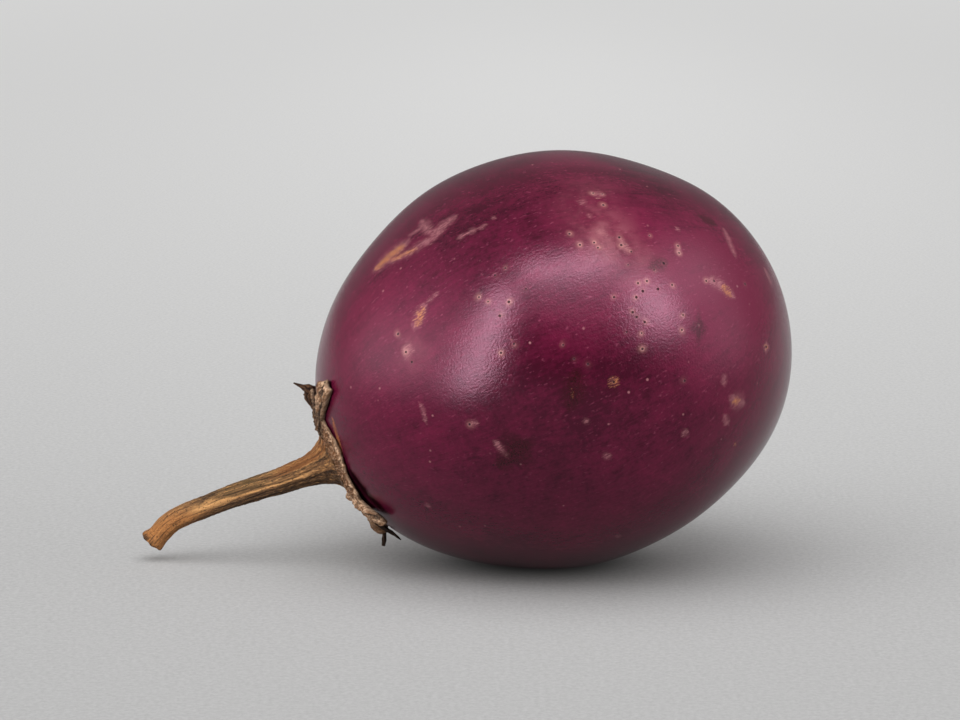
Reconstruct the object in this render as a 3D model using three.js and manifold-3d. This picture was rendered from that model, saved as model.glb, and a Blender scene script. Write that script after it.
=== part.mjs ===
// A round purple eggplant, picked some days ago and lying on its side.
// It has three grown pieces: the fruit, the dried calyx that caps its stem end,
// and the dried stem that widens into the calyx.
//
// Units are millimetres. The grown frame has +Z along the stem, away from the fruit,
// and +X on the side that faces up once the eggplant lies down. The lying frame, which is
// the part's own, has +Z up, -X towards the stem, and its origin in the middle of the
// small flat spot that the fruit rests on.

import * as THREE from 'three';
import { mergeVertices } from 'three/addons/utils/BufferGeometryUtils.js';
import Module from 'manifold-3d';

const wasm = await Module();
wasm.setup();

// Fruit: radius from its centre, as shares of the mean radius
const MEAN_RADIUS = 46.9;
const ELONGATION = 0.069; // longer from stem end to blossom end
const TAPER = 0.0145; // slimmer towards the blossom end
const BLUNTNESS = 0.0085; // both ends rounder than an ellipse
const SKEW = 0.028; // the stem sits off the long axis, towards the under side
const FLATS = [
  // where the skin grew flatter: degrees from the stem axis, azimuth in degrees from the upper
  // side, depth, and spread in radians
  { fromStem: 0, azimuth: 0, depth: 2.75, spread: 0.22 }, // stem end, under the calyx
  { fromStem: 110, azimuth: 180, depth: 3.4, spread: 0.35 }, // cheek of the under side
  { fromStem: 27, azimuth: 0, depth: 0.45, spread: 0.28 }, // shoulder of the upper side
  { fromStem: 143, azimuth: 0, depth: 0.5, spread: 0.2 }, // upper side of the blossom end
];
const SKIN_SEGMENTS = [60, 36]; // round the stem axis, and from stem end to blossom end

// How it lies
const STEM_DIP = THREE.MathUtils.degToRad(24.5); // stem axis below the horizontal
const CENTRE_HEIGHT = 42.45; // fruit centre above the table
const CENTRE_FORWARD = 2.6; // fruit centre past the middle of the resting spot

// Calyx: a thin cap over the stem end, with pointed lobes
const CALYX_GAP = 0.35; // between the dried cap and the skin
const CALYX_THICKNESS = 1.15;
const CALYX_SEAT_HEIGHT = 50; // flat middle that the stem stands on, from the fruit centre
const CALYX_SEAT_REACH = [0.15, 0.25]; // radians over which the flat middle fades out
const CALYX_RINGS = 8;
const CALYX_SEGMENTS = 72;
const CURL_POWER = 4; // a lobe lies on the skin for most of its length and lifts near its tip
const LOBE_POWER = 1.4; // a lobe narrows to a rounded point
const SINUS_REACH = 0.34; // radians from the stem axis to the notch between two lobes
const LOBES = [
  // azimuth in degrees from the upper side, reach in radians, half width in degrees,
  // and how far the dried tip has curled off the skin
  { azimuth: -43, reach: 0.55, halfWidth: 25, lift: 0.6 },
  { azimuth: 15, reach: 0.4, halfWidth: 24, lift: 3.4 },
  { azimuth: 90, reach: 0.43, halfWidth: 27, lift: 1 },
  { azimuth: 165, reach: 0.42, halfWidth: 25, lift: 1.8 },
  { azimuth: -130, reach: 0.47, halfWidth: 25, lift: 0.8 },
];

// Stem: a gently bowed stalk that flares where it meets the calyx
const STEM_GAP = 0.3;
const STEM_RADIUS = 1.95;
const STEM_FLARE = 11; // square millimetres: extra radius falls off with height
const STEM_FLARE_START = 1.3; // height that the flare is counted from, below the seat
const STEM_KNOB = 0.45; // the cut end is a little thicker
const STEM_KNOB_LENGTH = 2.2;
const STEM_SEGMENTS = [18, 24]; // round the stem, and along it
const FLARE_RING_POWER = 1.6; // sets the rings closer together in the flare
const STEM_BOW = [
  // offset to the upper side, height above the seat
  [0, 0],
  [0.1, 6],
  [0.7, 14],
  [1.7, 23],
  [2.5, 33.5],
  [1.9, 38],
  [-0.1, 42.2],
];

// Direction from the fruit centre at an angle from the stem axis and an azimuth from +X.
function direction(fromStem, azimuth) {
  return new THREE.Vector3(
    Math.sin(fromStem) * Math.cos(azimuth),
    Math.sin(fromStem) * Math.sin(azimuth),
    Math.cos(fromStem),
  );
}

const flats = FLATS.map((flat) => ({
  ...flat,
  middle: direction(THREE.MathUtils.degToRad(flat.fromStem), THREE.MathUtils.degToRad(flat.azimuth)),
}));

// Bell curve that is 1 at zero and fades over the spread.
const bell = (angle, spread) => Math.exp(-((angle / spread) ** 2));

// Distance from the fruit centre to the skin: a stretched, tapered, skewed ball, less its flats.
function skinRadius(fromStem, azimuth) {
  const harmonics =
    1 +
    ELONGATION * Math.cos(2 * fromStem) +
    TAPER * Math.cos(3 * fromStem) +
    BLUNTNESS * Math.cos(4 * fromStem) +
    SKEW * Math.cos(azimuth) * Math.sin(2 * fromStem);
  const outward = direction(fromStem, azimuth);
  return flats.reduce(
    (radius, flat) => radius - flat.depth * bell(outward.angleTo(flat.middle), flat.spread),
    MEAN_RADIUS * harmonics,
  );
}

// Edge of the calyx at an azimuth: how far it reaches from the stem axis, which is the notch or
// the nearest lobe as it narrows to a rounded point, and how far it stands off the skin there.
function calyxEdge(azimuth) {
  const edge = { reach: SINUS_REACH, lift: 0 };
  for (const lobe of LOBES) {
    const away = azimuth - THREE.MathUtils.degToRad(lobe.azimuth);
    const turn = Math.abs(Math.atan2(Math.sin(away), Math.cos(away)));
    const across = turn / THREE.MathUtils.degToRad(lobe.halfWidth);
    const rise = Math.max(0, 1 - across ** LOBE_POWER);
    edge.reach += (lobe.reach - SINUS_REACH) * rise;
    edge.lift += lobe.lift * rise;
  }
  return edge;
}

// Moves every vertex of a geometry by a function of its place, and drops what no longer fits.
function reshaped(geometry, move) {
  const places = geometry.getAttribute('position');
  const place = new THREE.Vector3();
  for (let i = 0; i < places.count; i++) {
    place.fromBufferAttribute(places, i);
    const moved = move(place);
    places.setXYZ(i, moved.x, moved.y, moved.z);
  }
  geometry.deleteAttribute('normal');
  geometry.deleteAttribute('uv');
  return mergeVertices(geometry, 1e-3);
}

function solidOf(geometry) {
  return new wasm.Manifold(
    new wasm.Mesh({
      numProp: 3,
      vertProperties: geometry.getAttribute('position').array,
      triVerts: new Uint32Array(geometry.index.array),
    }),
  );
}

function geometryOf(solid) {
  const mesh = solid.getMesh();
  return new THREE.BufferGeometry()
    .setAttribute('position', new THREE.BufferAttribute(mesh.vertProperties, 3))
    .setIndex(new THREE.BufferAttribute(mesh.triVerts, 1));
}

// Tips the grown frame over so that the stem points down along -X.
const lying = new THREE.Group();
lying.rotation.y = -(Math.PI / 2 + STEM_DIP);
lying.position.set(CENTRE_FORWARD, 0, CENTRE_HEIGHT);
lying.updateMatrix();

// The fruit is a ball reshaped to the skin, with the resting spot pressed flat by the table.
function makeFruit() {
  const ball = new THREE.SphereGeometry(1, ...SKIN_SEGMENTS).rotateX(Math.PI / 2);
  const grown = reshaped(ball, (place) => {
    const fromStem = Math.acos(THREE.MathUtils.clamp(place.z, -1, 1));
    const azimuth = Math.atan2(place.y, place.x);
    return direction(fromStem, azimuth).multiplyScalar(skinRadius(fromStem, azimuth));
  });
  const tableSide = 4 * MEAN_RADIUS;
  const table = new THREE.BoxGeometry(tableSide, tableSide, tableSide)
    .translate(0, 0, -tableSide / 2)
    .applyMatrix4(lying.matrix.clone().invert());
  const pressed = solidOf(grown).subtract(solidOf(reshaped(table, (place) => place)));
  const skin = new THREE.MeshStandardMaterial({ color: 0x5a1d3e, roughness: 0.35, metalness: 0 });
  const fruit = new THREE.Mesh(geometryOf(pressed), skin);
  fruit.name = 'fruit';
  return fruit;
}

// The calyx is a lathed unit plate, stretched to the lobes and draped over the stem end.
function makeCalyx() {
  const section = [];
  for (let i = 0; i <= CALYX_RINGS; i++) section.push(new THREE.Vector2(i / CALYX_RINGS, -0.5));
  for (let i = CALYX_RINGS; i >= 0; i--) section.push(new THREE.Vector2(i / CALYX_RINGS, 0.5));
  const plate = new THREE.LatheGeometry(section, CALYX_SEGMENTS).rotateX(Math.PI / 2);
  const draped = reshaped(plate, (place) => {
    const azimuth = Math.atan2(place.y, place.x);
    const outward = Math.hypot(place.x, place.y);
    const edge = calyxEdge(azimuth);
    const fromStem = outward * edge.reach;
    const under = skinRadius(fromStem, azimuth) + CALYX_GAP + edge.lift * outward ** CURL_POWER;
    const seat = CALYX_SEAT_HEIGHT / Math.cos(fromStem);
    const fade = THREE.MathUtils.smoothstep(fromStem, ...CALYX_SEAT_REACH);
    const over = THREE.MathUtils.lerp(seat, under + CALYX_THICKNESS, fade);
    return direction(fromStem, azimuth).multiplyScalar(place.z > 0 ? over : under);
  });
  const husk = new THREE.MeshStandardMaterial({ color: 0x7a6248, roughness: 0.85, metalness: 0 });
  const calyx = new THREE.Mesh(draped, husk);
  calyx.name = 'calyx';
  return calyx;
}

// The stem is a closed cylinder carried along its bow, with the flare and the knob as its radius.
function makeStem() {
  const bow = new THREE.CatmullRomCurve3(
    STEM_BOW.map(([offset, height]) => new THREE.Vector3(offset, 0, height)),
  );
  const length = STEM_BOW.at(-1)[1];
  const rod = new THREE.CylinderGeometry(1, 1, 1, ...STEM_SEGMENTS).rotateX(Math.PI / 2);
  const grown = reshaped(rod, (place) => {
    const share = (place.z + 0.5) ** FLARE_RING_POWER;
    const middle = bow.getPoint(share);
    const along = bow.getTangent(share);
    const upward = new THREE.Vector3(along.z, 0, -along.x);
    const flare = STEM_FLARE / (middle.z + STEM_GAP + STEM_FLARE_START);
    const knob = STEM_KNOB * bell(length - middle.z, STEM_KNOB_LENGTH);
    const radius = STEM_RADIUS + flare + knob;
    middle.addScaledVector(upward, radius * place.x);
    middle.y += radius * place.y;
    middle.z += CALYX_SEAT_HEIGHT + STEM_GAP;
    return middle;
  });
  const bark = new THREE.MeshStandardMaterial({ color: 0x8a6a3c, roughness: 0.75, metalness: 0 });
  const stem = new THREE.Mesh(grown, bark);
  stem.name = 'stem';
  return stem;
}

lying.add(makeFruit(), makeCalyx(), makeStem());
const eggplant = new THREE.Group();
eggplant.name = 'eggplant';
eggplant.add(lying);

export default eggplant;
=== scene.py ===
import bpy
import numpy as np
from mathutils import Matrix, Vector


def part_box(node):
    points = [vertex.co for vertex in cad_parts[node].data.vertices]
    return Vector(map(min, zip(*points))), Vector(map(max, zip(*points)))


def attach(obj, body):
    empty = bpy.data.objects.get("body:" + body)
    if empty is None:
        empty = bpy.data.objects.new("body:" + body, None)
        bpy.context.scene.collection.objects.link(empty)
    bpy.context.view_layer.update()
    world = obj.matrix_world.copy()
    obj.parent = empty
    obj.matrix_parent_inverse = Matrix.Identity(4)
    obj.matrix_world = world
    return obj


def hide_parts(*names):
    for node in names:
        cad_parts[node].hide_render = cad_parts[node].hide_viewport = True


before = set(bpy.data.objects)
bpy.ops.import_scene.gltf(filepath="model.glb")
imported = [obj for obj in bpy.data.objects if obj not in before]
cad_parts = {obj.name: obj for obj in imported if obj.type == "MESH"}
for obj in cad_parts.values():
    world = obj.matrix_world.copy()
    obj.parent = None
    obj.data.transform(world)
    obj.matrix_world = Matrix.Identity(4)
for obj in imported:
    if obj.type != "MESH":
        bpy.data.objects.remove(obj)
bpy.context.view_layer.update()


# Camera
# A small camera on a tripod, a little above the table and three hand spans from the eggplant.
# It frames 960 by 720 pixels, and the fruit's middle falls right of the picture's centre.
PICTURE = np.array([960, 720])
PIXEL = 0.0002092
CAMERA_DISTANCE = 0.6
CAMERA_RISE = np.radians(10)
SENSOR_WIDTH = 36
NEAREST_SEEN = 0.01
FRUIT_MIDDLE_PIXEL = np.array([553.0, 362.4])
CENTRE_ALONG, CENTRE_ABOVE = 0.502, 0.4245  # the fruit's centre in its box, as shares of its length

fruit_low, fruit_high = (np.array(corner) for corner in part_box("fruit"))
fruit_length = fruit_high[0] - fruit_low[0]
fruit_centre = np.array([
    fruit_low[0] + CENTRE_ALONG * fruit_length,
    0,
    fruit_low[2] + CENTRE_ABOVE * fruit_length,
])

camera_right = np.array([1.0, 0, 0])
camera_up = np.array([0, np.sin(CAMERA_RISE), np.cos(CAMERA_RISE)])
camera_forward = np.array([0, np.cos(CAMERA_RISE), -np.sin(CAMERA_RISE)])
off_centre = (PICTURE / 2 - FRUIT_MIDDLE_PIXEL) * PIXEL
camera_aim = fruit_centre + off_centre[0] * camera_right - off_centre[1] * camera_up
camera_place = camera_aim - CAMERA_DISTANCE * camera_forward

camera_data = bpy.data.cameras.new("camera")
camera_data.sensor_width = SENSOR_WIDTH
camera_data.lens = SENSOR_WIDTH * CAMERA_DISTANCE / (PICTURE[0] * PIXEL)
camera_data.clip_start = NEAREST_SEEN
camera = bpy.data.objects.new("camera", camera_data)
camera.location = camera_place
camera.rotation_euler = (np.pi / 2 - CAMERA_RISE, 0, 0)
bpy.context.scene.collection.objects.link(camera)
bpy.context.scene.camera = camera


# Fruit
# One berry, grown whole: a thin waxy purple skin over spongy flesh. It lies on its side, with
# its stem dipping towards the table, and its weight has pressed a small flat spot.
MEAN_RADIUS = 0.469 * fruit_length
ELONGATION = 0.069
TAPER = 0.0145
BLUNTNESS = 0.0085
SKEW = 0.028
FLATS = [
    # degrees from the stem axis, azimuth in degrees, depth in metres, spread in radians
    (0, 0, 0.00275, 0.22),
    (110, 180, 0.0034, 0.35),
    (27, 0, 0.00045, 0.28),
    (143, 0, 0.0005, 0.20),
]
STEM_DIP = np.radians(24.5)
SWELL_HEIGHT = 0.00012
SWELLS = [
    # waves round the stem axis, waves from end to end, and where they start
    (3, 5, 0),
    (5, -4, 1.3),
    (2, 9, 2.1),
]
FRUIT_RINGS = 268
FRUIT_COLUMNS = 366

stem_axis = np.array([-np.cos(STEM_DIP), 0, -np.sin(STEM_DIP)])
upper_side = np.array([-np.sin(STEM_DIP), 0, np.cos(STEM_DIP)])
far_side = np.array([0, 1.0, 0])


def bell(angle, spread):
    """1 at zero, fading as the exponential of minus the square of angle over spread."""
    return np.exp(-((angle / spread) ** 2))


def skin_radius(from_stem, azimuth):
    """Distance from the fruit's centre to its skin, at an angle from the stem axis and an azimuth
    round it from the upper side. The mean radius times one plus cosines of two, three and four
    times the angle, plus a skew in the plane of the upper side, less bell-shaped flats."""
    harmonics = (
        1
        + ELONGATION * np.cos(2 * from_stem)
        + TAPER * np.cos(3 * from_stem)
        + BLUNTNESS * np.cos(4 * from_stem)
        + SKEW * np.cos(azimuth) * np.sin(2 * from_stem)
    )
    flats = 0
    for flat_from_stem, flat_azimuth, depth, spread in FLATS:
        flat_from_stem, turn = np.radians(flat_from_stem), azimuth - np.radians(flat_azimuth)
        nearness = (
            np.cos(from_stem) * np.cos(flat_from_stem)
            + np.sin(from_stem) * np.sin(flat_from_stem) * np.cos(turn)
        )
        flats = flats + depth * bell(np.arccos(np.clip(nearness, -1, 1)), spread)
    return MEAN_RADIUS * harmonics - flats


def lying(sideways, away, along):
    """A point of the grown frame, given by its distances towards the upper side, towards the far
    side and along the stem, placed in the part's frame as the eggplant lies."""
    parts = (sideways, upper_side), (away, far_side), (along, stem_axis)
    return fruit_centre + sum(np.asarray(size)[..., None] * axis for size, axis in parts)


def over_skin(from_stem, azimuth, above=0.0):
    """The point at a height above the skin, straight out from the fruit's centre."""
    reach = skin_radius(from_stem, azimuth) + above
    round_axis = reach * np.sin(from_stem)
    return lying(round_axis * np.cos(azimuth), round_axis * np.sin(azimuth), reach * np.cos(from_stem))


SIGHT_START = 1.5 * MEAN_RADIUS
SIGHT_HALVINGS = 40


def seen_on_skin(pixels):
    """Where the sight lines through picture pixels first meet the skin: each stretch from well in
    front of the fruit to the point nearest its centre is halved until it closes on the skin."""
    across = (np.asarray(pixels, float) - PICTURE / 2) * PIXEL
    sight = CAMERA_DISTANCE * camera_forward + across[:, :1] * camera_right - across[:, 1:] * camera_up
    sight /= np.linalg.norm(sight, axis=1, keepdims=True)
    inside = (fruit_centre - camera_place) @ sight.T
    outside = inside - SIGHT_START
    for _ in range(SIGHT_HALVINGS):
        middle = (inside + outside) / 2
        spoke = camera_place + middle[:, None] * sight - fruit_centre
        length = np.linalg.norm(spoke, axis=1)
        from_stem = np.arccos(spoke @ stem_axis / length)
        azimuth = np.arctan2(spoke @ far_side, spoke @ upper_side)
        within = length < skin_radius(from_stem, azimuth)
        inside = np.where(within, middle, inside)
        outside = np.where(within, outside, middle)
    return camera_place + inside[:, None] * sight


TAPERED_REACH = 0.35
SHORTEST_RUN = 1e-12


def closeness(points, path, reach):
    """How near points are to a line of path points: one on the line, zero at the reach from it. The
    reach of a line narrows towards both its ends."""
    nearness = np.full(points.shape[:-1], -np.inf)
    stretches = max(len(path) - 1, 1)
    for number, (start, end) in enumerate(zip(path, path[1:] if len(path) > 1 else path)):
        run = end - start
        share = np.clip((points - start) @ run / max(run @ run, SHORTEST_RUN), 0, 1)
        gap = np.linalg.norm(points - start - share[..., None] * run, axis=-1)
        whole = (number + share) / stretches if len(path) > 1 else 0.5
        roundness = np.sqrt(np.clip(4 * whole * (1 - whole), 0, 1))
        taper = TAPERED_REACH + (1 - TAPERED_REACH) * roundness
        nearness = np.maximum(nearness, 1 - gap / (reach * taper))
    return nearness


def closed_surface(rings):
    """Vertices and faces of a closed surface: rings of points joined by quads, with a fan from the
    first and the last ring to the middle of each. Turned round if its volume comes out negative."""
    rows, columns = rings.shape[:2]
    index = np.arange(rows * columns).reshape(rows, columns)
    beside = np.roll(index, -1, axis=1)
    quads = np.stack([index[:-1], beside[:-1], beside[1:], index[1:]], -1).reshape(-1, 4)
    first, last = rows * columns, rows * columns + 1
    opening = np.stack([np.full(columns, first), beside[0], index[0]], -1)
    closing = np.stack([np.full(columns, last), index[-1], beside[-1]], -1)
    vertices = np.concatenate([rings.reshape(-1, 3), [rings[0].mean(0), rings[-1].mean(0)]])
    corner = vertices - vertices.mean(0)
    triangles = np.concatenate([quads[:, :3], quads[:, [0, 2, 3]], opening, closing])
    a, b, c = (corner[triangles[:, i]] for i in range(3))
    if (a * np.cross(b, c)).sum() < 0:
        quads, opening, closing = quads[:, ::-1], opening[:, ::-1], closing[:, ::-1]
    return vertices, quads.tolist() + opening.tolist() + closing.tolist()


def make_piece(name, surfaces):
    """One mesh object of several closed surfaces. Each is rings of points and the named values that
    its material reads there, as single numbers or vectors."""
    vertices, faces, values = [], [], {}
    for rings, fields in surfaces:
        points, sides = closed_surface(rings)
        offset = sum(map(len, vertices))
        vertices.append(points)
        faces += [[corner + offset for corner in side] for side in sides]
        for field, grid in fields.items():
            ends = [grid[0].mean(0), grid[-1].mean(0)]
            values.setdefault(field, []).append(
                np.concatenate([grid.reshape(-1, *grid.shape[2:]), ends])
            )
    mesh = bpy.data.meshes.new(name)
    mesh.from_pydata(np.concatenate(vertices).tolist(), [], faces)
    for field, grids in values.items():
        flat = np.concatenate(grids).astype(np.float32)
        kind, slot = ("FLOAT_VECTOR", "vector") if flat.ndim == 2 else ("FLOAT", "value")
        mesh.attributes.new(field, kind, "POINT").data.foreach_set(slot, flat.ravel())
    mesh.shade_smooth()
    piece = bpy.data.objects.new(name, mesh)
    bpy.context.scene.collection.objects.link(piece)
    return piece


def step(tree, kind, inputs=None, output=0, **settings):
    """Adds a shader node, sets or links its inputs, and returns one of its outputs."""
    node = tree.nodes.new("ShaderNode" + kind)
    for name, value in settings.items():
        setattr(node, name, value)
    for key, value in (inputs or {}).items():
        if isinstance(value, bpy.types.NodeSocket):
            tree.links.new(value, node.inputs[key])
        else:
            node.inputs[key].default_value = value
    return node.outputs[output]


def carried(tree, name, output="Fac"):
    """A named value that the mesh carries at each of its points."""
    return step(tree, "Attribute", output=output, attribute_name=name)


def math(tree, operation, first, second=0.0):
    """One sum of the node tree, named by its operation."""
    return step(tree, "Math", {0: first, 1: second}, operation=operation)


def times(tree, first, second):
    """The product of two values."""
    return math(tree, "MULTIPLY", first, second)


def plus(tree, total, value, share):
    """The total plus a share of the value."""
    return math(tree, "ADD", total, times(tree, value, share))


def ramp(tree, value, low, high, to_low=0.0, to_high=1.0):
    """A smooth climb from to_low to to_high as the value goes from low to high."""
    inputs = {"Value": value, 1: low, 2: high, 3: to_low, 4: to_high}
    return step(tree, "MapRange", inputs, interpolation_type="SMOOTHSTEP")


def blend(tree, share, under, over):
    """The colour under, covered by the colour over by a share."""
    inputs = {"Factor": share, "A": under, "B": over}
    return step(tree, "Mix", inputs, output="Result", data_type="RGBA")


def noise(tree, place, scale, detail=2.0, roughness=0.5):
    """Cloudy noise about one half. Its scale is lumps for each unit of place, on all axes or each."""
    if isinstance(scale, tuple):
        place, scale = step(tree, "Mapping", {"Vector": place, "Scale": scale}), 1
    inputs = {"Vector": place, "Scale": scale, "Detail": detail, "Roughness": roughness}
    return step(tree, "TexNoise", inputs, output="Fac")


def start_finish(name, roughness, gloss):
    """A new material with its roughness and specular level, then its node tree, its surface shader and
    the place on the piece."""
    material = bpy.data.materials.new(name)
    material.use_nodes = True
    tree = material.node_tree
    surface = tree.nodes["Principled BSDF"]
    surface.inputs["Roughness"].default_value = roughness
    surface.inputs["Specular IOR Level"].default_value = gloss
    return material, tree, surface, step(tree, "TexCoord", output="Object")


def raise_relief(tree, surface, relief, height, strength=1.0):
    """Bumps a surface by a relief of a height in metres."""
    bump = step(tree, "Bump", {"Height": relief, "Strength": strength, "Distance": height})
    tree.links.new(bump, surface.inputs["Normal"])


# Marks on the skin, by the picture pixels where they show, and how far each reaches in metres.
CORKY_SCARS = [
    ([(375, 269), (388, 257), (404, 245)], 0.0015),
    ([(392, 260), (406, 253), (418, 247)], 0.0007),
    ([(573, 389), (572, 398)], 0.0004),
    ([(416, 326), (419, 317), (423, 306)], 0.0011),
    ([(722, 286), (731, 296)], 0.0012),
    ([(614, 382)], 0.0011),
    ([(733, 402), (740, 400)], 0.0011),
    ([(766, 347)], 0.0008),
    ([(736, 445)], 0.0006),
    ([(332, 418), (335, 430), (339, 443), (343, 456)], 0.0008),
]
PALE_MARKS = [
    ([(374, 270), (390, 256), (408, 241)], 0.0022),
    ([(390, 262), (410, 251), (430, 239), (444, 229)], 0.0013),
    ([(430, 236), (442, 226), (456, 216)], 0.0014),
    ([(421, 221), (430, 233)], 0.0014),
    ([(408, 236), (420, 229)], 0.0007),
    ([(457, 239), (466, 233)], 0.0007),
    ([(468, 233), (477, 228)], 0.0009),
    ([(478, 229), (487, 224)], 0.0006),
    ([(490, 218), (496, 217)], 0.0005),
    ([(414, 329), (424, 303)], 0.0014),
    ([(424, 304), (432, 297), (440, 290)], 0.0006),
    ([(403, 350), (412, 350)], 0.0018),
    ([(708, 280), (720, 285), (734, 297)], 0.0014),
    ([(724, 228), (730, 242), (736, 257)], 0.0009),
    ([(590, 194), (605, 196)], 0.0011),
    ([(582, 203)], 0.0009),
    ([(597, 230), (606, 237)], 0.0011),
    ([(590, 214), (589, 219)], 0.0007),
    ([(619, 238), (626, 249), (631, 252)], 0.0010),
    ([(676, 227), (679, 231)], 0.0007),
    ([(678, 246), (679, 256)], 0.0008),
    ([(724, 374), (724, 386)], 0.0008),
    ([(682, 436), (688, 430)], 0.0009),
    ([(607, 456)], 0.0009),
    ([(586, 421)], 0.0007),
    ([(618, 536)], 0.0007),
    ([(420, 402), (423, 409), (427, 424)], 0.0006),
    ([(470, 424), (479, 422)], 0.0008),
    ([(494, 440), (500, 447), (508, 457)], 0.0008),
    ([(428, 506)], 0.0007),
    ([(724, 415), (729, 425)], 0.0009),
    ([(731, 398), (744, 404)], 0.0018),
    ([(766, 343), (766, 352)], 0.0013),
    ([(764, 268), (772, 285)], 0.0010),
]
BRUISES = [
    ([(576, 372), (575, 390), (570, 408)], 0.0028),
    ([(508, 455), (526, 445)], 0.0050),
    ([(497, 464), (512, 461)], 0.0024),
    ([(695, 328), (702, 329)], 0.0040),
    ([(650, 268), (666, 262)], 0.0018),
    ([(700, 216), (716, 224)], 0.0018),
]
PAINTED_CALYX_SHADOW_MARKS = [
    # painted shadow on the skin along the calyx's edge
    ([(331, 383), (329, 397), (327, 409)], 0.0012),
    ([(350, 470), (359, 483), (368, 494), (379, 505), (388, 514)], 0.0019),
]
TONE_AND_LIGHT_PATCHES = [
    # paler and deeper skin, partly its own tone and partly painted light and shade: picture pixel, how
    # far it spreads in metres, and by how much
    ((372, 345), 0.030, 0.40),
    ((440, 325), 0.012, 0.15),
    ((570, 312), 0.013, 0.50),
    ((690, 255), 0.018, 0.45),
    ((745, 300), 0.020, 0.68),
    ((350, 360), 0.010, 0.20),
    ((585, 395), 0.018, -0.42),
    ((640, 450), 0.013, 0.26),
    ((560, 530), 0.018, 0.24),
    ((545, 450), 0.012, -0.15),
    ((425, 485), 0.010, -0.10),
    ((445, 395), 0.008, -0.15),
    ((500, 225), 0.012, -0.25),
    ((605, 210), 0.010, 0.35),
    ((665, 195), 0.012, -0.20),
    ((570, 157), 0.008, 0.60),
]
BASE_TONE = 0.29
BLOOM = [
    # where the wax has dulled to a pale haze: picture pixel, spread in metres, and how thick
    ((606, 238), 0.0055, 0.26),
    ((636, 262), 0.0050, 0.12),
    ((590, 200), 0.0070, 0.08),
    ((412, 352), 0.0040, 0.10),
]
PITS = [
    (603, 206), (569.5, 234), (580, 245), (594, 243), (592.6, 247.5), (597.7, 248), (619, 238),
    (621, 245.5), (631, 252), (628, 265), (638, 283), (647, 281), (658, 289), (672, 285),
    (643, 291), (636.5, 297), (614, 297), (633, 312), (637, 317), (645, 322), (683, 315),
    (682, 330), (642, 333), (627, 332), (643, 349), (678, 246), (679, 253), (745, 284),
    (663.5, 263.5), (654, 270), (563, 345), (574, 359), (588, 364), (685, 381), (470, 424),
    (505.5, 268), (495, 275), (526, 289), (509, 302), (500, 316), (479, 297), (488, 301.5),
    (514, 344), (501, 353), (398, 334), (412, 362), (406, 352), (706, 281), (714, 281),
    (614, 382), (593, 194), (602, 195), (649, 236), (766, 347),
]
PIT_ROOM = 0.0019
PIT_LAYERS = ["pit_one", "pit_two", "pit_three"]
NO_PIT = np.array([1.0, 1.0, 1.0])

# Pits and scars strewn by chance over the far side: angles from the upper side in radians, cosines of
# angles from the stem axis, and lengths in radians. Reaches are in metres.
CHANCE_SEED = 7
FAR_PITS = 70
FAR_PIT_AZIMUTHS = 0.12 * np.pi, 0.88 * np.pi
FAR_PIT_COSINES = -0.95, 0.8
FAR_SCARS = 9
FAR_SCAR_AZIMUTHS = 0.15 * np.pi, 0.85 * np.pi
FAR_SCAR_COSINES = -0.8, 0.7
FAR_SCAR_LENGTHS = 0.03, 0.2
FAR_SCAR_SWAY = -0.02, 0.02
FAR_SCAR_POINTS = 4
FAR_PALE_REACHES = 0.0007, 0.0014
FAR_CORK_REACHES = 0.0005, 0.0011

ring_angle = np.linspace(0, np.pi, FRUIT_RINGS + 2)[1:-1, None]
column_angle = np.linspace(0, 2 * np.pi, FRUIT_COLUMNS, endpoint=False)[None, :]
swell = sum(
    np.sin(round_axis * column_angle + end_to_end * ring_angle + start)
    for round_axis, end_to_end, start in SWELLS
)
swell = SWELL_HEIGHT * swell * np.sin(ring_angle)
fruit_rings = over_skin(ring_angle, column_angle, swell)
fruit_rings[..., 2] = np.maximum(fruit_rings[..., 2], 0)

chance = np.random.default_rng(CHANCE_SEED)
far_azimuth = chance.uniform(*FAR_PIT_AZIMUTHS, FAR_PITS)
far_from_stem = np.arccos(chance.uniform(*FAR_PIT_COSINES, FAR_PITS))
pits = np.concatenate([seen_on_skin(PITS), over_skin(far_from_stem, far_azimuth)])
vertices = fruit_rings.reshape(-1, 3)
nearest = np.array([vertices[np.argmin(((vertices - pit) ** 2).sum(-1))] for pit in pits])
outward = pits - fruit_centre
outward /= np.linalg.norm(outward, axis=1, keepdims=True)
pits += outward * ((nearest - pits) * outward).sum(1, keepdims=True)
pit_fields = {layer: np.broadcast_to(NO_PIT, fruit_rings.shape).copy() for layer in PIT_LAYERS}
pit_layer_of = []
for number, pit in enumerate(pits):
    near = np.linalg.norm(pits[:number] - pit, axis=1) < 2 * PIT_ROOM
    taken = {pit_layer_of[other] for other in np.flatnonzero(near)}
    layer = next((name for name in PIT_LAYERS if name not in taken), PIT_LAYERS[-1])
    pit_layer_of.append(layer)
    around = np.linalg.norm(fruit_rings - pit, axis=-1) < PIT_ROOM
    pit_fields[layer][around] = pit


def mark_field(marks):
    """The greatest closeness to any of the marks, and no less than minus one."""
    field = np.full(fruit_rings.shape[:2], -1.0)
    for pixels, reach in marks:
        field = np.maximum(field, closeness(fruit_rings, seen_on_skin(pixels), reach))
    return field


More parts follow.
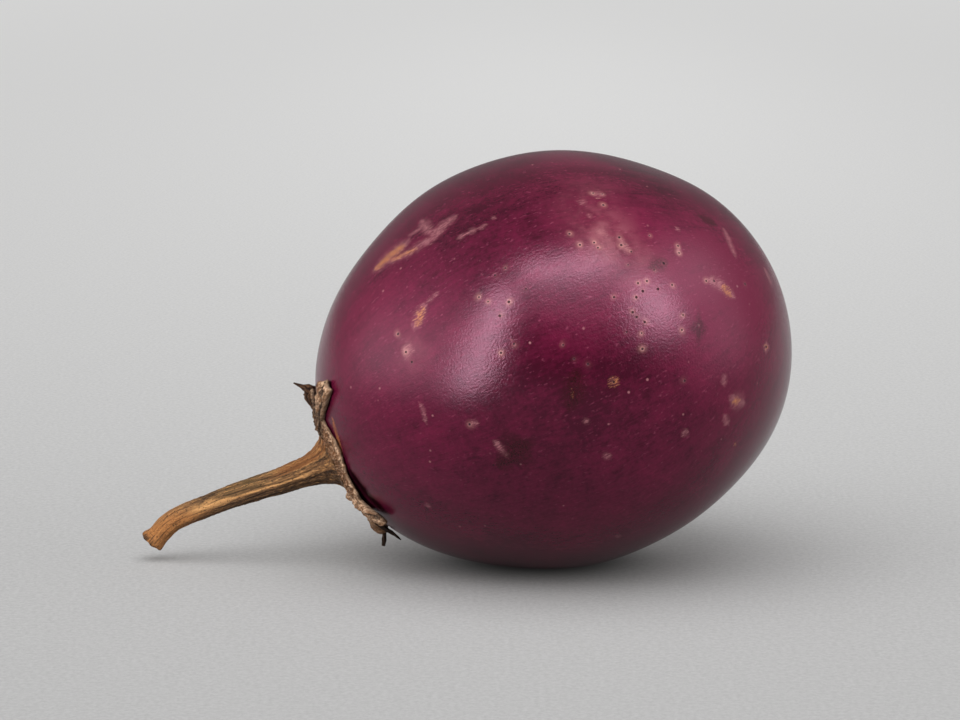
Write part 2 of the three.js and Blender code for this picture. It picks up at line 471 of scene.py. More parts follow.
corky = mark_field(CORKY_SCARS)
pale = mark_field(PALE_MARKS)
bruised = mark_field(BRUISES)
painted_calyx_shadow = mark_field(PAINTED_CALYX_SHADOW_MARKS)
for _ in range(FAR_SCARS):
    azimuth = chance.uniform(*FAR_SCAR_AZIMUTHS)
    from_stem = np.arccos(chance.uniform(*FAR_SCAR_COSINES))
    from_stem = from_stem + np.linspace(0, chance.uniform(*FAR_SCAR_LENGTHS), FAR_SCAR_POINTS)
    streak = over_skin(from_stem, azimuth + chance.uniform(*FAR_SCAR_SWAY, FAR_SCAR_POINTS))
    pale = np.maximum(pale, closeness(fruit_rings, streak, chance.uniform(*FAR_PALE_REACHES)))
    corky = np.maximum(corky, closeness(fruit_rings, streak[:2], chance.uniform(*FAR_CORK_REACHES)))


def joined(*parts):
    """Vectors of several arrays, each stretched to the shape of all."""
    return np.stack(np.broadcast_arrays(*parts), -1)


near_half = fruit_rings * (1, 0, 1) - np.abs(fruit_rings) * (0, 1, 0)


def patch_field(patches, base):
    """A base value, plus for each patch its amount times a bell of the distance from its middle. The
    far half of the fruit mirrors the near half."""
    field = np.full(fruit_rings.shape[:2], base)
    for pixel, spread, amount in patches:
        gap = np.linalg.norm(near_half - seen_on_skin([pixel]), axis=-1)
        field = field + amount * bell(gap, spread)
    return field


fruit_fields = {
    "meridian": joined(np.cos(column_angle), np.sin(column_angle), ring_angle),
    "corky": corky,
    "pale": pale,
    "bruised": bruised,
    "painted_calyx_shadow": painted_calyx_shadow,
    "tone_and_painted_light": patch_field(TONE_AND_LIGHT_PATCHES, BASE_TONE),
    "bloom": patch_field(BLOOM, 0.0),
}
fruit = make_piece("fruit_skin", [(fruit_rings, {**fruit_fields, **pit_fields})])

DEEP_PURPLE = (0.024, 0.00145, 0.0062, 1)
WINE_PURPLE = (0.079, 0.0045, 0.0198, 1)
ROSE = (0.17, 0.035, 0.065, 1)
GLOSS_TINT = (1, 0.56, 0.74, 1)
PALE_ROSE = (0.24, 0.100, 0.108, 1)
BEIGE = (0.42, 0.22, 0.18, 1)
CORK = (0.30, 0.118, 0.030, 1)
CORK_DARK = (0.12, 0.04, 0.018, 1)
BRUISE = (0.010, 0.0018, 0.0010, 1)
PAINTED_SKIN_SHADOW = (0.004, 0.0005, 0.0012, 1)
PIT_DARK = (0.008, 0.002, 0.003, 1)
SKIN_ROUGHNESS = 0.19, 0.23
SKIN_GLOSS = 0.32
SKIN_RELIEF = 0.00006
SKIN_RELIEF_STRENGTH = 0.7
NOISE_MEAN = 0.5
PIT_HALOES = [
    # metres from a pit's middle between which a pale ring fades out, and its strength
    (0.0003, 0.0013, 0.13),
    (0.0002, 0.0006, 0.32),
]
PIT_EDGE = 0.00015, 0.00028


def skin_finish():
    """Waxy purple skin. Its tone is the one that the mesh carries, partly painted light and shade, plus
    noise, some of it drawn out along the meridians. Over that lie rose dashes, pale flecks, dark specks,
    bloom, a painted shadow along the calyx's edge, scars, bruises and pits, each by its share."""
    material, tree, surface, place = start_finish("eggplant_skin", SKIN_ROUGHNESS[0], SKIN_GLOSS)
    along = carried(tree, "meridian", "Vector")
    broad = noise(tree, place, 45, 3)
    blotches = noise(tree, place, 200, 4, 0.6)
    streaks = noise(tree, along, (14, 14, 3.0), 5, 0.6)
    hairs = noise(tree, along, (110, 110, 20), 3, 0.6)
    mottle = noise(tree, place, 1100, 3, 0.65)
    upper = ramp(tree, step(tree, "SeparateXYZ", {0: place}, output="Z"), 0.02, 0.06, 0.4, 1)
    streaks = step(tree, "Mix", {"Factor": upper, "A": NOISE_MEAN, "B": streaks}, data_type="FLOAT")
    # the tone that the mesh carries is partly painted light and shade
    tone_and_painted_light = carried(tree, "tone_and_painted_light")
    for pattern, depth in ((broad, 0.8), (blotches, 0.85), (streaks, 1.1), (hairs, 0.7), (mottle, 0.85)):
        tone_and_painted_light = plus(tree, tone_and_painted_light, math(tree, "SUBTRACT", pattern, NOISE_MEAN), depth)
    colour = blend(tree, step(tree, "Clamp", {0: tone_and_painted_light}), DEEP_PURPLE, WINE_PURPLE)

    dashes = noise(tree, along, (80, 80, 40), 2)
    dashes = times(tree, upper, ramp(tree, dashes, 0.61, 0.78, 0, 0.45))
    colour = blend(tree, dashes, colour, ROSE)
    fleck_kind = noise(tree, place, 150, 1)
    fleck_gap = step(tree, "TexVoronoi", {"Vector": place, "Scale": 260}, output="Distance")
    fleck_size = ramp(tree, fleck_gap, 0.03, 0.10, 0.7, 0)
    flecks = times(tree, fleck_size, ramp(tree, fleck_kind, 0.46, 0.58))
    colour = blend(tree, flecks, colour, PALE_ROSE)
    speck_gap = step(tree, "TexVoronoi", {"Vector": place, "Scale": 210}, output="Distance")
    speck_size = ramp(tree, speck_gap, 0.02, 0.06, 0.8, 0)
    specks = times(tree, speck_size, ramp(tree, fleck_kind, 0.5, 0.42))
    colour = blend(tree, specks, colour, PIT_DARK)
    bloom = times(tree, carried(tree, "bloom"), ramp(tree, blotches, 0.35, 0.65, 0.4, 1.5))
    colour = blend(tree, bloom, colour, PALE_ROSE)

    ragged = noise(tree, along, (170, 170, 42), 4, 0.7)
    ragged = times(tree, math(tree, "SUBTRACT", ragged, NOISE_MEAN), 3.4)
    speckle = noise(tree, place, 2600, 2)

    def mark(name, start, end, raggedness):
        """How much a mark covers: a climb of its closeness plus the ragged noise."""
        return ramp(tree, plus(tree, carried(tree, name), ragged, raggedness), start, end)

    # painted shadow of the calyx's edge, laid over the skin colour
    colour = blend(tree, mark("painted_calyx_shadow", -0.1, 0.8, 0.2), colour, PAINTED_SKIN_SHADOW)
    smear = times(tree, mark("pale", -0.6, 1.0, 0.6), 0.24)
    pale_share = times(tree, mark("pale", 0.0, 1.3, 1.5), 0.6)
    colour = blend(tree, math(tree, "MAXIMUM", smear, pale_share), colour, PALE_ROSE)
    corky_share = mark("corky", -0.1, 1.1, 1.4)
    cork_colour = blend(tree, ramp(tree, speckle, 0.48, 0.62), CORK, CORK_DARK)
    colour = blend(tree, times(tree, corky_share, 0.8), colour, cork_colour)
    bruise_grain = ramp(tree, speckle, 0.35, 0.6, 0.35, 0.8)
    bruise_share = times(tree, mark("bruised", -0.4, 1.0, 0.35), bruise_grain)
    colour = blend(tree, bruise_share, colour, BRUISE)

    to_pit = 1.0
    for layer in PIT_LAYERS:
        ends = {0: place, 1: carried(tree, layer, "Vector")}
        gap = step(tree, "VectorMath", ends, output="Value", operation="DISTANCE")
        to_pit = math(tree, "MINIMUM", to_pit, gap)
    pit_size = ramp(tree, noise(tree, place, 330, 0), 0.3, 0.7, 0.8, 1.25)
    to_pit = math(tree, "DIVIDE", to_pit, pit_size)
    strength = ramp(tree, noise(tree, place, 260, 0), 0.38, 0.68, 0.12, 1)
    for start, end, paleness in PIT_HALOES:
        halo = times(tree, strength, ramp(tree, to_pit, start, end, paleness, 0))
        colour = blend(tree, halo, colour, BEIGE)
    hole = ramp(tree, to_pit, *PIT_EDGE, 0.97, 0)
    colour = blend(tree, hole, colour, PIT_DARK)
    tree.links.new(colour, surface.inputs["Base Color"])

    surface.inputs["Specular Tint"].default_value = GLOSS_TINT
    dull = plus(tree, times(tree, corky_share, 0.3), hole, 0.7)
    roughness = math(tree, "ADD", ramp(tree, broad, 0.3, 0.7, *SKIN_ROUGHNESS), dull)
    tree.links.new(roughness, surface.inputs["Roughness"])
    ripples = noise(tree, along, (120, 120, 60), 2, 0.5)
    relief = noise(tree, place, 2600, 2, 0.6)
    for pattern, height in ((ripples, 0.6), (corky_share, 0.5), (hole, -1.2)):
        relief = plus(tree, relief, pattern, height)
    raise_relief(tree, surface, relief, SKIN_RELIEF, SKIN_RELIEF_STRENGTH)
    return material


fruit.data.materials.append(skin_finish())
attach(fruit, "root")
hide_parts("fruit")


# Calyx
# The leafy cap that held the flower, grown on over the stem end: a thick disc with five lobes.
# It has dried to a brown husk, and its lobes have wrinkled, torn and curled off the skin.
MILLIMETRE = 0.001
DISC_GAP = 0.15
DISC_THICKNESS = 0.75
DISC_ROWS = (20, 16, 90)
DISC_COLUMNS = 480
DISC_HOLE = 0.04
DISC_EDGE = np.array([
    (-180, 14.0), (-160, 14.0), (-140, 14.8), (-130, 16.2), (-116, 18.2), (-106, 18.3), (-99, 17.9),
    (-93, 17.0), (-83, 18.1), (-75, 18.9), (-68, 18.8), (-58, 17.8), (-20, 16.0), (15, 14.6),
    (60, 15.2), (90, 15.8), (130, 14.6),
])
LOBES = [
    # azimuth, half width and softness of the sides in degrees, then reach and its slant for each degree,
    # lift and thickness
    (-44, 6.6, 1.4, 24.4, -0.20, 0.25, 0.9),
    (15, 10.0, 6.0, 14.6, 0, 0.3, 0.8),
    (91, 10.0, 5.0, 21.0, 0, 0.9, 1.1),
    (175, 9.0, 5.0, 15.6, 0, 0.4, 0.9),
    (-121, 5.8, 2.8, 22.6, 0, 0.7, 1.2),
]
SKIRT_AZIMUTH = -108
SKIRT_SPREAD = 15
SKIRT_LIFT = 0.8
FOLD_LEAN = 0.27
FOLD_FOOT = 22.6
FOLD_START = 0.24
JAGS = [
    # how many round the edge, their depth, and where they start
    (23, 0.25, 0),
    (41, 0.16, 1),
    (67, 0.1, 2),
]
LOBE_TIPS = [
    # azimuth and depth of its wrinkles, how dark by stain and painted shade, and how ruddy it is, then
    # stations: from the stem axis, along the stem, half width, half thickness
    (15, 0.7, 0.45, 1.8, [
        (10, 49.4, 1.6, 0.6), (12.5, 49.9, 1.6, 0.7), (14.0, 49.9, 1.7, 1.0), (15.1, 49.4, 1.7, 1.5),
        (16.1, 49.7, 1.3, 1.15), (17.0, 50.5, 0.7, 0.5), (18.5, 51.9, 0.2, 0.15),
    ]),
    (178, 0.25, 0.0, 0.8, [
        (12.5, 49.2, 0.8, 0.4), (15.0, 49.0, 0.8, 0.5), (16.0, 48.6, 1.2, 1.15), (17.0, 47.9, 1.4, 1.45),
        (18.0, 47.2, 1.2, 1.25), (18.6, 46.8, 0.4, 0.4),
    ]),
    (178, 1, 0.7, 0.1, [
        (17.0, 47.3, 0.6, 0.5), (18.4, 47.5, 0.6, 0.5), (19.8, 48.1, 0.55, 0.45),
        (21.2, 48.9, 0.35, 0.35),
    ]),
    (-172, 1, 0.95, 0.1, [
        (15.4, 47.8, 0.9, 0.5), (17.2, 46.8, 0.9, 0.45), (19.0, 45.6, 0.6, 0.35), (21.0, 44.5, 0.1, 0.12),
    ]),
]
TIP_ROWS = 60
TIP_COLUMNS = 40


def climb(value, low, high):
    """Nought below low, one above high, and three squares less two cubes of the share between."""
    share = np.clip((value - low) / (high - low), 0, 1)
    return share * share * (3 - 2 * share)


def smooth_path(stations, count):
    """A smooth curve through stations: on each stretch a cubic whose slope at a station is half the
    step between its neighbours."""
    stations = np.asarray(stations, float)
    first, last = 2 * stations[0] - stations[1], 2 * stations[-1] - stations[-2]
    padded = np.concatenate([[first], stations, [last]])
    place = np.linspace(0, len(stations) - 1, count)
    stretch = np.minimum(place.astype(int), len(stations) - 2)
    share = (place - stretch)[:, None]
    before, start, end, after = (padded[stretch + i] for i in range(4))
    bend = 2 * before - 5 * start + 4 * end - after
    twist = 3 * start - before - 3 * end + after
    return start + 0.5 * share * (end - before + share * (bend + share * twist))


def folds(angle, along, count, waver, start):
    """Creases side by side, nought in each crease and one between: the size of the sine of half the
    angle times their count, which sways as they run along in millimetres."""
    sway = np.sin(1.3 * along + 2 * angle + start) + 0.6 * np.sin(2.9 * along - 3 * angle + 2 * start)
    return np.abs(np.sin((count * angle + waver * sway) / 2 + start))


def crumple(points, size, waves=28):
    """Uneven swelling of about one: a sum of waves in chance directions, about a size apart."""
    directions = chance.normal(size=(waves, 3))
    directions /= np.linalg.norm(directions, axis=1, keepdims=True)
    pace = 2 * np.pi / (size * chance.uniform(0.7, 1.6, (waves, 1)))
    angles = points @ (directions * pace).T + chance.uniform(0, 2 * np.pi, waves)
    return np.sin(angles).sum(-1) * np.sqrt(2 / waves)


def over_disc(from_axis, azimuth, above):
    """The point at a height above the skin whose foot is at a distance from the stem axis."""
    angles = np.linspace(0, 0.8, 200)
    distances = skin_radius(angles, -np.pi / 2) * np.sin(angles)
    from_stem = np.interp(from_axis * MILLIMETRE, distances, angles)
    return over_skin(from_stem, azimuth, above * MILLIMETRE)


def husk_disc():
    """The disc and the flat of its lobes, as one sheet: under side, round edge and upper side at every
    azimuth. Its reach is the disc's edge, raised to a lobe's reach between that lobe's sides."""
    azimuth = np.linspace(-np.pi, np.pi, DISC_COLUMNS, endpoint=False)
    degrees = np.degrees(azimuth)
    edge = np.interp(degrees, DISC_EDGE[:, 0], DISC_EDGE[:, 1], period=360)
    reach, thickness = edge, np.full(DISC_COLUMNS, DISC_THICKNESS)
    lift = SKIRT_LIFT * bell(degrees - SKIRT_AZIMUTH, SKIRT_SPREAD)
    for middle, half_width, softness, lobe_reach, slant, lobe_lift, lobe_thickness in LOBES:
        turn = (degrees - middle + 180) % 360 - 180
        share = 1 - climb(np.abs(turn), half_width - softness, half_width + softness)
        reach = reach + share * (lobe_reach + slant * turn - edge)
        lift = lift + share * lobe_lift
        thickness = thickness + share * (lobe_thickness - DISC_THICKNESS)
    on_lobe = climb(reach - edge, 0.5, 3)
    jags = sum(depth * np.sin(count * azimuth + start) for count, depth, start in JAGS)
    reach = reach + jags * (0.3 + on_lobe)

    under, round_edge, over = DISC_ROWS
    turn = np.linspace(-np.pi / 2, np.pi / 2, round_edge + 2)[1:-1]
    spoke = np.linspace(DISC_HOLE, 1, under), np.ones(round_edge), np.linspace(1, DISC_HOLE, over)
    outward = np.concatenate(spoke)
    bulge = np.concatenate([np.zeros(under), np.cos(turn), np.zeros(over)])
    level = np.concatenate([np.zeros(under), (1 + np.sin(turn)) / 2, np.ones(over)])
    outward, bulge, level = outward[:, None], bulge[:, None], level[:, None]
    from_axis = outward * (reach - thickness / 2) + bulge * thickness / 2
    wide = folds(azimuth, from_axis, 40, 0.4, FOLD_START - FOLD_LEAN * (from_axis - FOLD_FOOT))
    fine = folds(azimuth, from_axis, 118, 1.3, 1.7)
    free = climb(from_axis, 7, 12)
    smooth_disc = over_disc(from_axis, azimuth, 0) / MILLIMETRE
    lumps = crumple(smooth_disc, 2.2)
    grit = crumple(smooth_disc, 0.7)
    wrinkles = on_lobe * (0.8 * wide + 0.25 * fine - 0.5) + 0.16 * lumps + 0.09 * grit
    above = DISC_GAP + lift * outward ** 3 + level * (thickness + free * wrinkles)
    from_axis = from_axis + bulge * (0.12 * lumps + 0.05 * grit)
    rings = over_disc(from_axis, azimuth, above)
    ridge = np.clip(0.7 * wide ** 0.6 + 0.3 * fine, 0, 1)
    inner = level * climb(reach - from_axis, 0.3, 1.0) * (1 - 0.75 * on_lobe)
    # painted shade where the top lobe's neck meets the disc
    neck = climb(degrees, -58, -51) * (1 - climb(degrees, -20, 0))
    neck = level * neck * (1 - climb(from_axis, 17, 19.5)) * climb(from_axis, 8, 11)
    fields = {
        "ridge": 1 - free * on_lobe * (1 - ridge),
        "grain": joined(np.cos(azimuth), np.sin(azimuth), from_axis + 2 * level),
        "margin": np.broadcast_to(bulge, ridge.shape),
        # painted shade on the under side and at the neck, with a light stain on the inner disc
        "stain_and_shade": 0.8 * (1 - level) + 0.12 * inner + 0.5 * neck,
        "ruddy": 1.2 * inner,
    }
    return rings, fields


def husk_tip(azimuth, wrinkle, stain_and_shade, ruddy, stations):
    """A curled lobe tip: an oval carried along its path in the plane of one azimuth, with creases along
    it that deepen and shallow the oval."""
    azimuth = np.radians(azimuth)
    from_axis, along, half_width, half_thickness = smooth_path(stations, TIP_ROWS).T[..., None]
    run = np.stack([np.gradient(from_axis[:, 0]), np.gradient(along[:, 0])])
    run = run / np.linalg.norm(run, axis=0)
    turn = np.linspace(0, 2 * np.pi, TIP_COLUMNS, endpoint=False)
    whole_length = np.hypot(*np.ptp(np.asarray(stations)[:, :2], axis=0))
    length = np.linspace(0, 1, TIP_ROWS)[:, None] * whole_length
    creases = folds(turn, length, 7, 0.9, azimuth)
    size = 1 + wrinkle * (0.3 * creases - 0.2)
    outward = half_thickness * size * np.sin(turn)
    sideways = half_width * size * np.cos(turn)
    from_axis = from_axis - run[1][:, None] * outward
    along = along + run[0][:, None] * outward
    lumps = crumple(joined(from_axis, along, sideways), 1.1)
    along = along + 0.12 * wrinkle * lumps * half_thickness
    upper = from_axis * np.cos(azimuth) - sideways * np.sin(azimuth)
    away = from_axis * np.sin(azimuth) + sideways * np.cos(azimuth)
    rings = lying(upper * MILLIMETRE, away * MILLIMETRE, along * MILLIMETRE)
    whole = np.ones(creases.shape)
    fields = {
        "ridge": 1 - wrinkle * (1 - creases),
        "grain": joined(np.cos(turn), np.sin(turn), length),
        "margin": 0 * whole,
        "stain_and_shade": stain_and_shade * whole,
        "ruddy": ruddy * whole,
    }
    return rings, fields


calyx = make_piece("calyx_husk", [husk_disc()] + [husk_tip(*tip) for tip in LOBE_TIPS])

PALE_HUSK = (0.50, 0.33, 0.215, 1)
BROWN_HUSK = (0.158, 0.072, 0.032, 1)
RUDDY_HUSK = (0.17, 0.072, 0.029, 1)
HUSK_DARK_AND_SHADE = (0.009, 0.003, 0.002, 1)
HUSK_ROUGHNESS = 0.78
HUSK_GLOSS = 0.15
HUSK_RELIEF = 0.0006


def husk_finish():
    """Dry tissue, pale to brown by its strands, blotches and speckle, ruddy where the mesh says, and dark
    in its cracks and pores, in painted shade along its creases, and by its stains, which are partly
    painted shade on the under side, at the neck of the top lobe and on the tips. Strands run along the
    lobes, and along the edge at the margin."""
    material, tree, surface, place = start_finish("dried_husk", HUSK_ROUGHNESS, HUSK_GLOSS)
    along = carried(tree, "grain", "Vector")
    ridge, margin, stain_and_shade, ruddy = (carried(tree, name) for name in ("ridge", "margin", "stain_and_shade", "ruddy"))
    fibres = noise(tree, along, (48, 48, 1.1), 5, 0.7)
    lines = noise(tree, along, (10, 10, 5), 3, 0.6)
    strands = step(tree, "Mix", {"Factor": margin, "A": fibres, "B": lines}, data_type="FLOAT")
    blotches = noise(tree, place, 700, 4, 0.65)
    speckle = noise(tree, place, 2200, 3, 0.7)
    lightness = plus(tree, times(tree, strands, 0.8), blotches, 0.5)
    lightness = plus(tree, lightness, speckle, 0.4)
    colour = blend(tree, ramp(tree, lightness, 0.73, 0.95), BROWN_HUSK, PALE_HUSK)
    ruddy_share = times(tree, ruddy, ramp(tree, strands, 0.4, 0.65, 1, 0.2))
    colour = blend(tree, ruddy_share, colour, RUDDY_HUSK)
    wander = math(tree, "ABSOLUTE", math(tree, "SUBTRACT", strands, 0.48))
    cracks = times(tree, ramp(tree, wander, 0.0, 0.05, 0.95, 0), ramp(tree, blotches, 0.38, 0.55))
    pores = ramp(tree, speckle, 0.3, 0.42, 0.7, 0)
    # painted shade along the creases of the folds
    creases = ramp(tree, ridge, 0.35, 0.82, 0.97, 0)
    shade = math(tree, "ADD", math(tree, "MAXIMUM", cracks, pores), creases)
    shade = times(tree, shade, math(tree, "SUBTRACT", 1.0, times(tree, margin, 0.6)))
    shade = math(tree, "ADD", stain_and_shade, shade)
    colour = blend(tree, math(tree, "MINIMUM", shade, 0.96), colour, HUSK_DARK_AND_SHADE)
    tree.links.new(colour, surface.inputs["Base Color"])
    relief = plus(tree, times(tree, strands, 0.8), speckle, 0.5)
    raise_relief(tree, surface, relief, HUSK_RELIEF)
    return material


calyx.data.materials.append(husk_finish())
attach(calyx, "root")
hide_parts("calyx")


# Stem
# The woody stalk that the fruit hung by, cut from the plant. It grew on from the calyx, where it
# flares, and drying has left ridges along it and a rough, lipped cut.
STEM_PATH = [
    # towards the upper side, then along the stem from the fruit's centre, in millimetres
    (0.1, 49.5), (0.1, 50.3), (0.1, 51.5), (0.12, 53.5), (0.2, 56), (0.4, 59), (0.75, 63.2), (1.55, 69.5),
    (2.05, 75.0), (2.3, 80.2), (2.45, 84.7), (1.9, 88.5), (0.15, 92.9),
]
STEM_RADIUS = 1.95
STEM_FLARE = 11
FLARE_FOOT = 48.2
STEM_KNOB = 0.5
STEM_KNOB_LENGTH = 1.5
LIP_HEIGHT = 0.35
LIP_PACE = 2.2
CUT_DEPTH = 0.7
CUT_CLOSING = 0.94
STEM_ROWS = 240
STEM_COLUMNS = 132
CUT_ROWS = 16
STEM_RIDGES = 11


def stem_bark():
    """Rings round the stem's path. Radius is a steady part, a flare that falls off as one over the
    height, and a knob at the cut; ridges and lumps add to it. The cut closes as rings that shrink, first
    swelling past the end as a lip and then sinking behind it."""
    upper, along = smooth_path(STEM_PATH, STEM_ROWS).T
    run = np.stack([np.gradient(upper), np.gradient(along)])
    run = run / np.linalg.norm(run, axis=0)
    knob = STEM_KNOB * bell(along - along[-1], STEM_KNOB_LENGTH)
    radius = STEM_RADIUS + STEM_FLARE / (along - FLARE_FOOT) + knob
    inward = np.linspace(0, 1, CUT_ROWS + 1)[1:]
    lip = np.sin(np.pi * np.minimum(inward * LIP_PACE, 1))
    past = LIP_HEIGHT * lip - CUT_DEPTH * climb(inward, 0.25, 0.8)
    upper = np.concatenate([upper, upper[-1] + run[0, -1] * past])
    along = np.concatenate([along, along[-1] + run[1, -1] * past])
    radius = np.concatenate([radius, radius[-1] * (1 - CUT_CLOSING * inward)])[:, None]
    run = np.concatenate([run, np.repeat(run[:, -1:], CUT_ROWS, axis=1)], axis=1)
    upper, along = upper[:, None], along[:, None]
    turn = np.linspace(-np.pi, np.pi, STEM_COLUMNS, endpoint=False)
    whole = np.ones((len(upper), STEM_COLUMNS))
    wide = folds(turn, 0.12 * along, STEM_RIDGES, 1.6, 0.9) * whole
    fine = folds(turn, 0.3 * along, 31, 1.4, 2.2) * whole
    on_skin = joined(radius * np.cos(turn), radius * np.sin(turn), 0.35 * along)
    lumps = crumple(on_skin, 1.6)
    grit = crumple(on_skin * (1, 1, 2), 0.6)
    depth = 0.6 + 0.4 * np.sin(0.35 * along + 2 * turn) * np.cos(3 * turn - 0.2 * along)
    relief = 0.045 * depth * (2 * wide ** 0.7 - 1.2) + 0.02 * fine + 0.02 * lumps + 0.008 * grit
    near_cut = climb(along, 87, 91.5)
    relief = relief * (1 - 0.75 * near_cut) + near_cut * 0.04 * lumps
    size = radius * (1 + relief)
    along = along + near_cut * 0.07 * lumps
    upward = size * np.cos(turn)
    away = size * np.sin(turn)
    middle = upper + run[1][:, None] * upward
    height = along - run[0][:, None] * upward
    rings = lying(middle * MILLIMETRE, away * MILLIMETRE, height * MILLIMETRE)
    facing_up = np.cos(turn) * whole
    along_stem = along * whole
    flare = 1 - climb(along_stem, 51, 60)
    before_bend = 1 - climb(along_stem, 79, 85)
    worn = climb(along_stem, 71, 77)
    belly = -0.1 - 0.2 * worn
    spine = bell(facing_up - belly - 0.08 - 0.38 * worn + 0.03 * lumps, 0.07 + 0.27 * worn)
    lip = np.concatenate([np.zeros(STEM_ROWS), lip])[:, None]
    fields = {
        "ridge": np.clip(0.65 * wide ** 0.6 + 0.35 * fine, 0, 1),
        "grain": joined(np.cos(turn), np.sin(turn), along),
        "flare": flare,
        # painted shade on the under side, up to the bend
        "painted_underside_shade": climb(belly - facing_up + 0.05 * lumps, 0, 0.09) * before_bend,
        "spine": spine * before_bend * climb(along_stem, 54, 58),
        "seam": bell(facing_up - 0.42 + 0.03 * lumps, 0.06) * (1 - climb(along_stem, 60, 68)),
        "weathered": climb(facing_up + 0.12 * lumps, 0.42, 0.6) * bell(along_stem - 78.5, 3.4),
        "ruddy": climb(facing_up, 0.42, 0.55) * (1 - climb(along_stem, 60, 66)),
        "golden": climb(along_stem - 6 * facing_up, 76, 86),
        "olive": climb(facing_up + 0.1 * lumps, -0.1, 0.3) * bell(along_stem - 70, 9),
        "lip": np.maximum(lip, climb(along_stem, 91.6, 92.7)) * climb(lumps, -0.2, 0.5),
    }
    return rings, fields


stem = make_piece("stem_bark", [stem_bark()])

TAN_BARK = (0.235, 0.118, 0.047, 1)
BROWN_BARK = (0.10, 0.046, 0.019, 1)
GOLDEN_BARK = (0.25, 0.096, 0.025, 1)
RUDDY_BARK = (0.148, 0.052, 0.013, 1)
OLIVE_BARK = (0.075, 0.043, 0.015, 1)
PALE_BARK = (0.47, 0.245, 0.092, 1)
FLARE_BARK = (0.115, 0.053, 0.022, 1)
BARK_DARK_AND_SHADE = (0.012, 0.005, 0.002, 1)
BARK_ROUGHNESS = 0.62
BARK_GLOSS = 0.18
BARK_RELIEF = 0.0005


def bark_finish():
    """Dry bark: brown to tan by its fibres, golden towards the cut, olive half way, ruddy on the upper
    side by the calyx and fibrous brown on the flare. Ridges and a spine along it are pale. Pores, a seam,
    a weathered patch and the lip of the cut are dark, and painted shade darkens its furrows and under
    side."""
    material, tree, surface, place = start_finish("dried_bark", BARK_ROUGHNESS, BARK_GLOSS)
    grain = carried(tree, "grain", "Vector")
    ridge, ruddy, golden = (carried(tree, name) for name in ("ridge", "ruddy", "golden"))
    fibres = noise(tree, grain, (6, 6, 0.25), 5, 0.7)
    threads = noise(tree, grain, (18, 18, 0.9), 4, 0.65)
    speckle = noise(tree, place, 2200, 3, 0.7)
    patchy = noise(tree, place, 260, 3, 0.6)
    colour = blend(tree, ramp(tree, fibres, 0.35, 0.65), BROWN_BARK, TAN_BARK)
    golden_share = times(tree, golden, ramp(tree, threads, 0.35, 0.6, 0.5, 1))
    colour = blend(tree, golden_share, colour, GOLDEN_BARK)
    olive_share = times(tree, carried(tree, "olive"), ramp(tree, patchy, 0.3, 0.6, 0.5, 1))
    colour = blend(tree, olive_share, colour, OLIVE_BARK)
    colour = blend(tree, times(tree, ruddy, 0.85), colour, RUDDY_BARK)
    flare_share = times(tree, carried(tree, "flare"), math(tree, "SUBTRACT", 1.0, ruddy))
    flare_colour = blend(tree, ramp(tree, threads, 0.52, 0.72), FLARE_BARK, PALE_BARK)
    colour = blend(tree, flare_share, colour, flare_colour)
    pale = times(tree, ramp(tree, ridge, 0.6, 0.95), ramp(tree, threads, 0.42, 0.66, 0, 0.75))
    pale = times(tree, pale, ramp(tree, golden, 0, 1, 1, 0.45))
    spine = times(tree, carried(tree, "spine"), ramp(tree, threads, 0.3, 0.6, 0.45, 1))
    colour = blend(tree, math(tree, "MAXIMUM", pale, spine), colour, PALE_BARK)

    # painted shade in the furrows between ridges and on the under side
    dark = plus(tree, ramp(tree, ridge, 0.2, 0.6, 0.9, 0), carried(tree, "painted_underside_shade"), 0.68)
    pores = ramp(tree, speckle, 0.33, 0.46, 0.85, 0)
    weathered = times(tree, carried(tree, "weathered"), ramp(tree, speckle, 0.4, 0.6, 1, 0.45))
    seam = times(tree, carried(tree, "seam"), 0.9)
    for dark_share in (pores, weathered, seam, carried(tree, "lip")):
        dark = math(tree, "MAXIMUM", dark, dark_share)
    dark = times(tree, dark, ramp(tree, threads, 0.3, 0.7, 1.3, 0.55))
    colour = blend(tree, math(tree, "MINIMUM", dark, 0.9), colour, BARK_DARK_AND_SHADE)
    tree.links.new(colour, surface.inputs["Base Color"])
    relief = plus(tree, times(tree, fibres, 0.7), speckle, 0.5)
    relief = plus(tree, relief, threads, 0.5)
    raise_relief(tree, surface, relief, BARK_RELIEF)
    return material


stem.data.materials.append(bark_finish())
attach(stem, "root")
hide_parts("stem")


# Floor
# A sheet of plain pale grey paper, wide enough that its far edge never shows. Painted light lies on it:
# shade near the camera, a glow further back with a pool behind the fruit, and a shadow under the fruit.
FLOOR_SIDE = 14
FLOOR_DROP = 0.0001
# paper colour, a little darker near the camera: painted shade
NEAR_PAPER_PAINTED_SHADE = (0.482, 0.482, 0.482, 1)
FAR_PAPER = (0.517, 0.517, 0.517, 1)
PAPER_FLECKS = (0.32, 0.32, 0.32, 1)
PAPER_ROUGHNESS = 0.9
PAPER_GLOSS = 0.1
# painted glow of the paper, faint near the camera and brighter far back, and a painted pool of light
NEAR_PAINTED_GLOW = (0.08, 0.078, 0.076, 1)
FAR_PAINTED_GLOW = (0.50, 0.50, 0.496, 1)
GLOW_DEPTH = 1.0
PAINTED_LIGHT_POOL = (0.60, 0.60, 0.596, 1)
POOL_SHARE = 0.3
POOL_MIDDLE = (0.04, 1.2, 0)
POOL_SPREAD = (0.2, 0.95, 1)
# painted contact shadow under the fruit
PAINTED_CONTACT_SHADOW = (0.05, 0.045, 0.045, 1)
CONTACT_MIDDLE = (0, 0, 0)
CONTACT_SPREAD = (0.024, 0.018, 1)

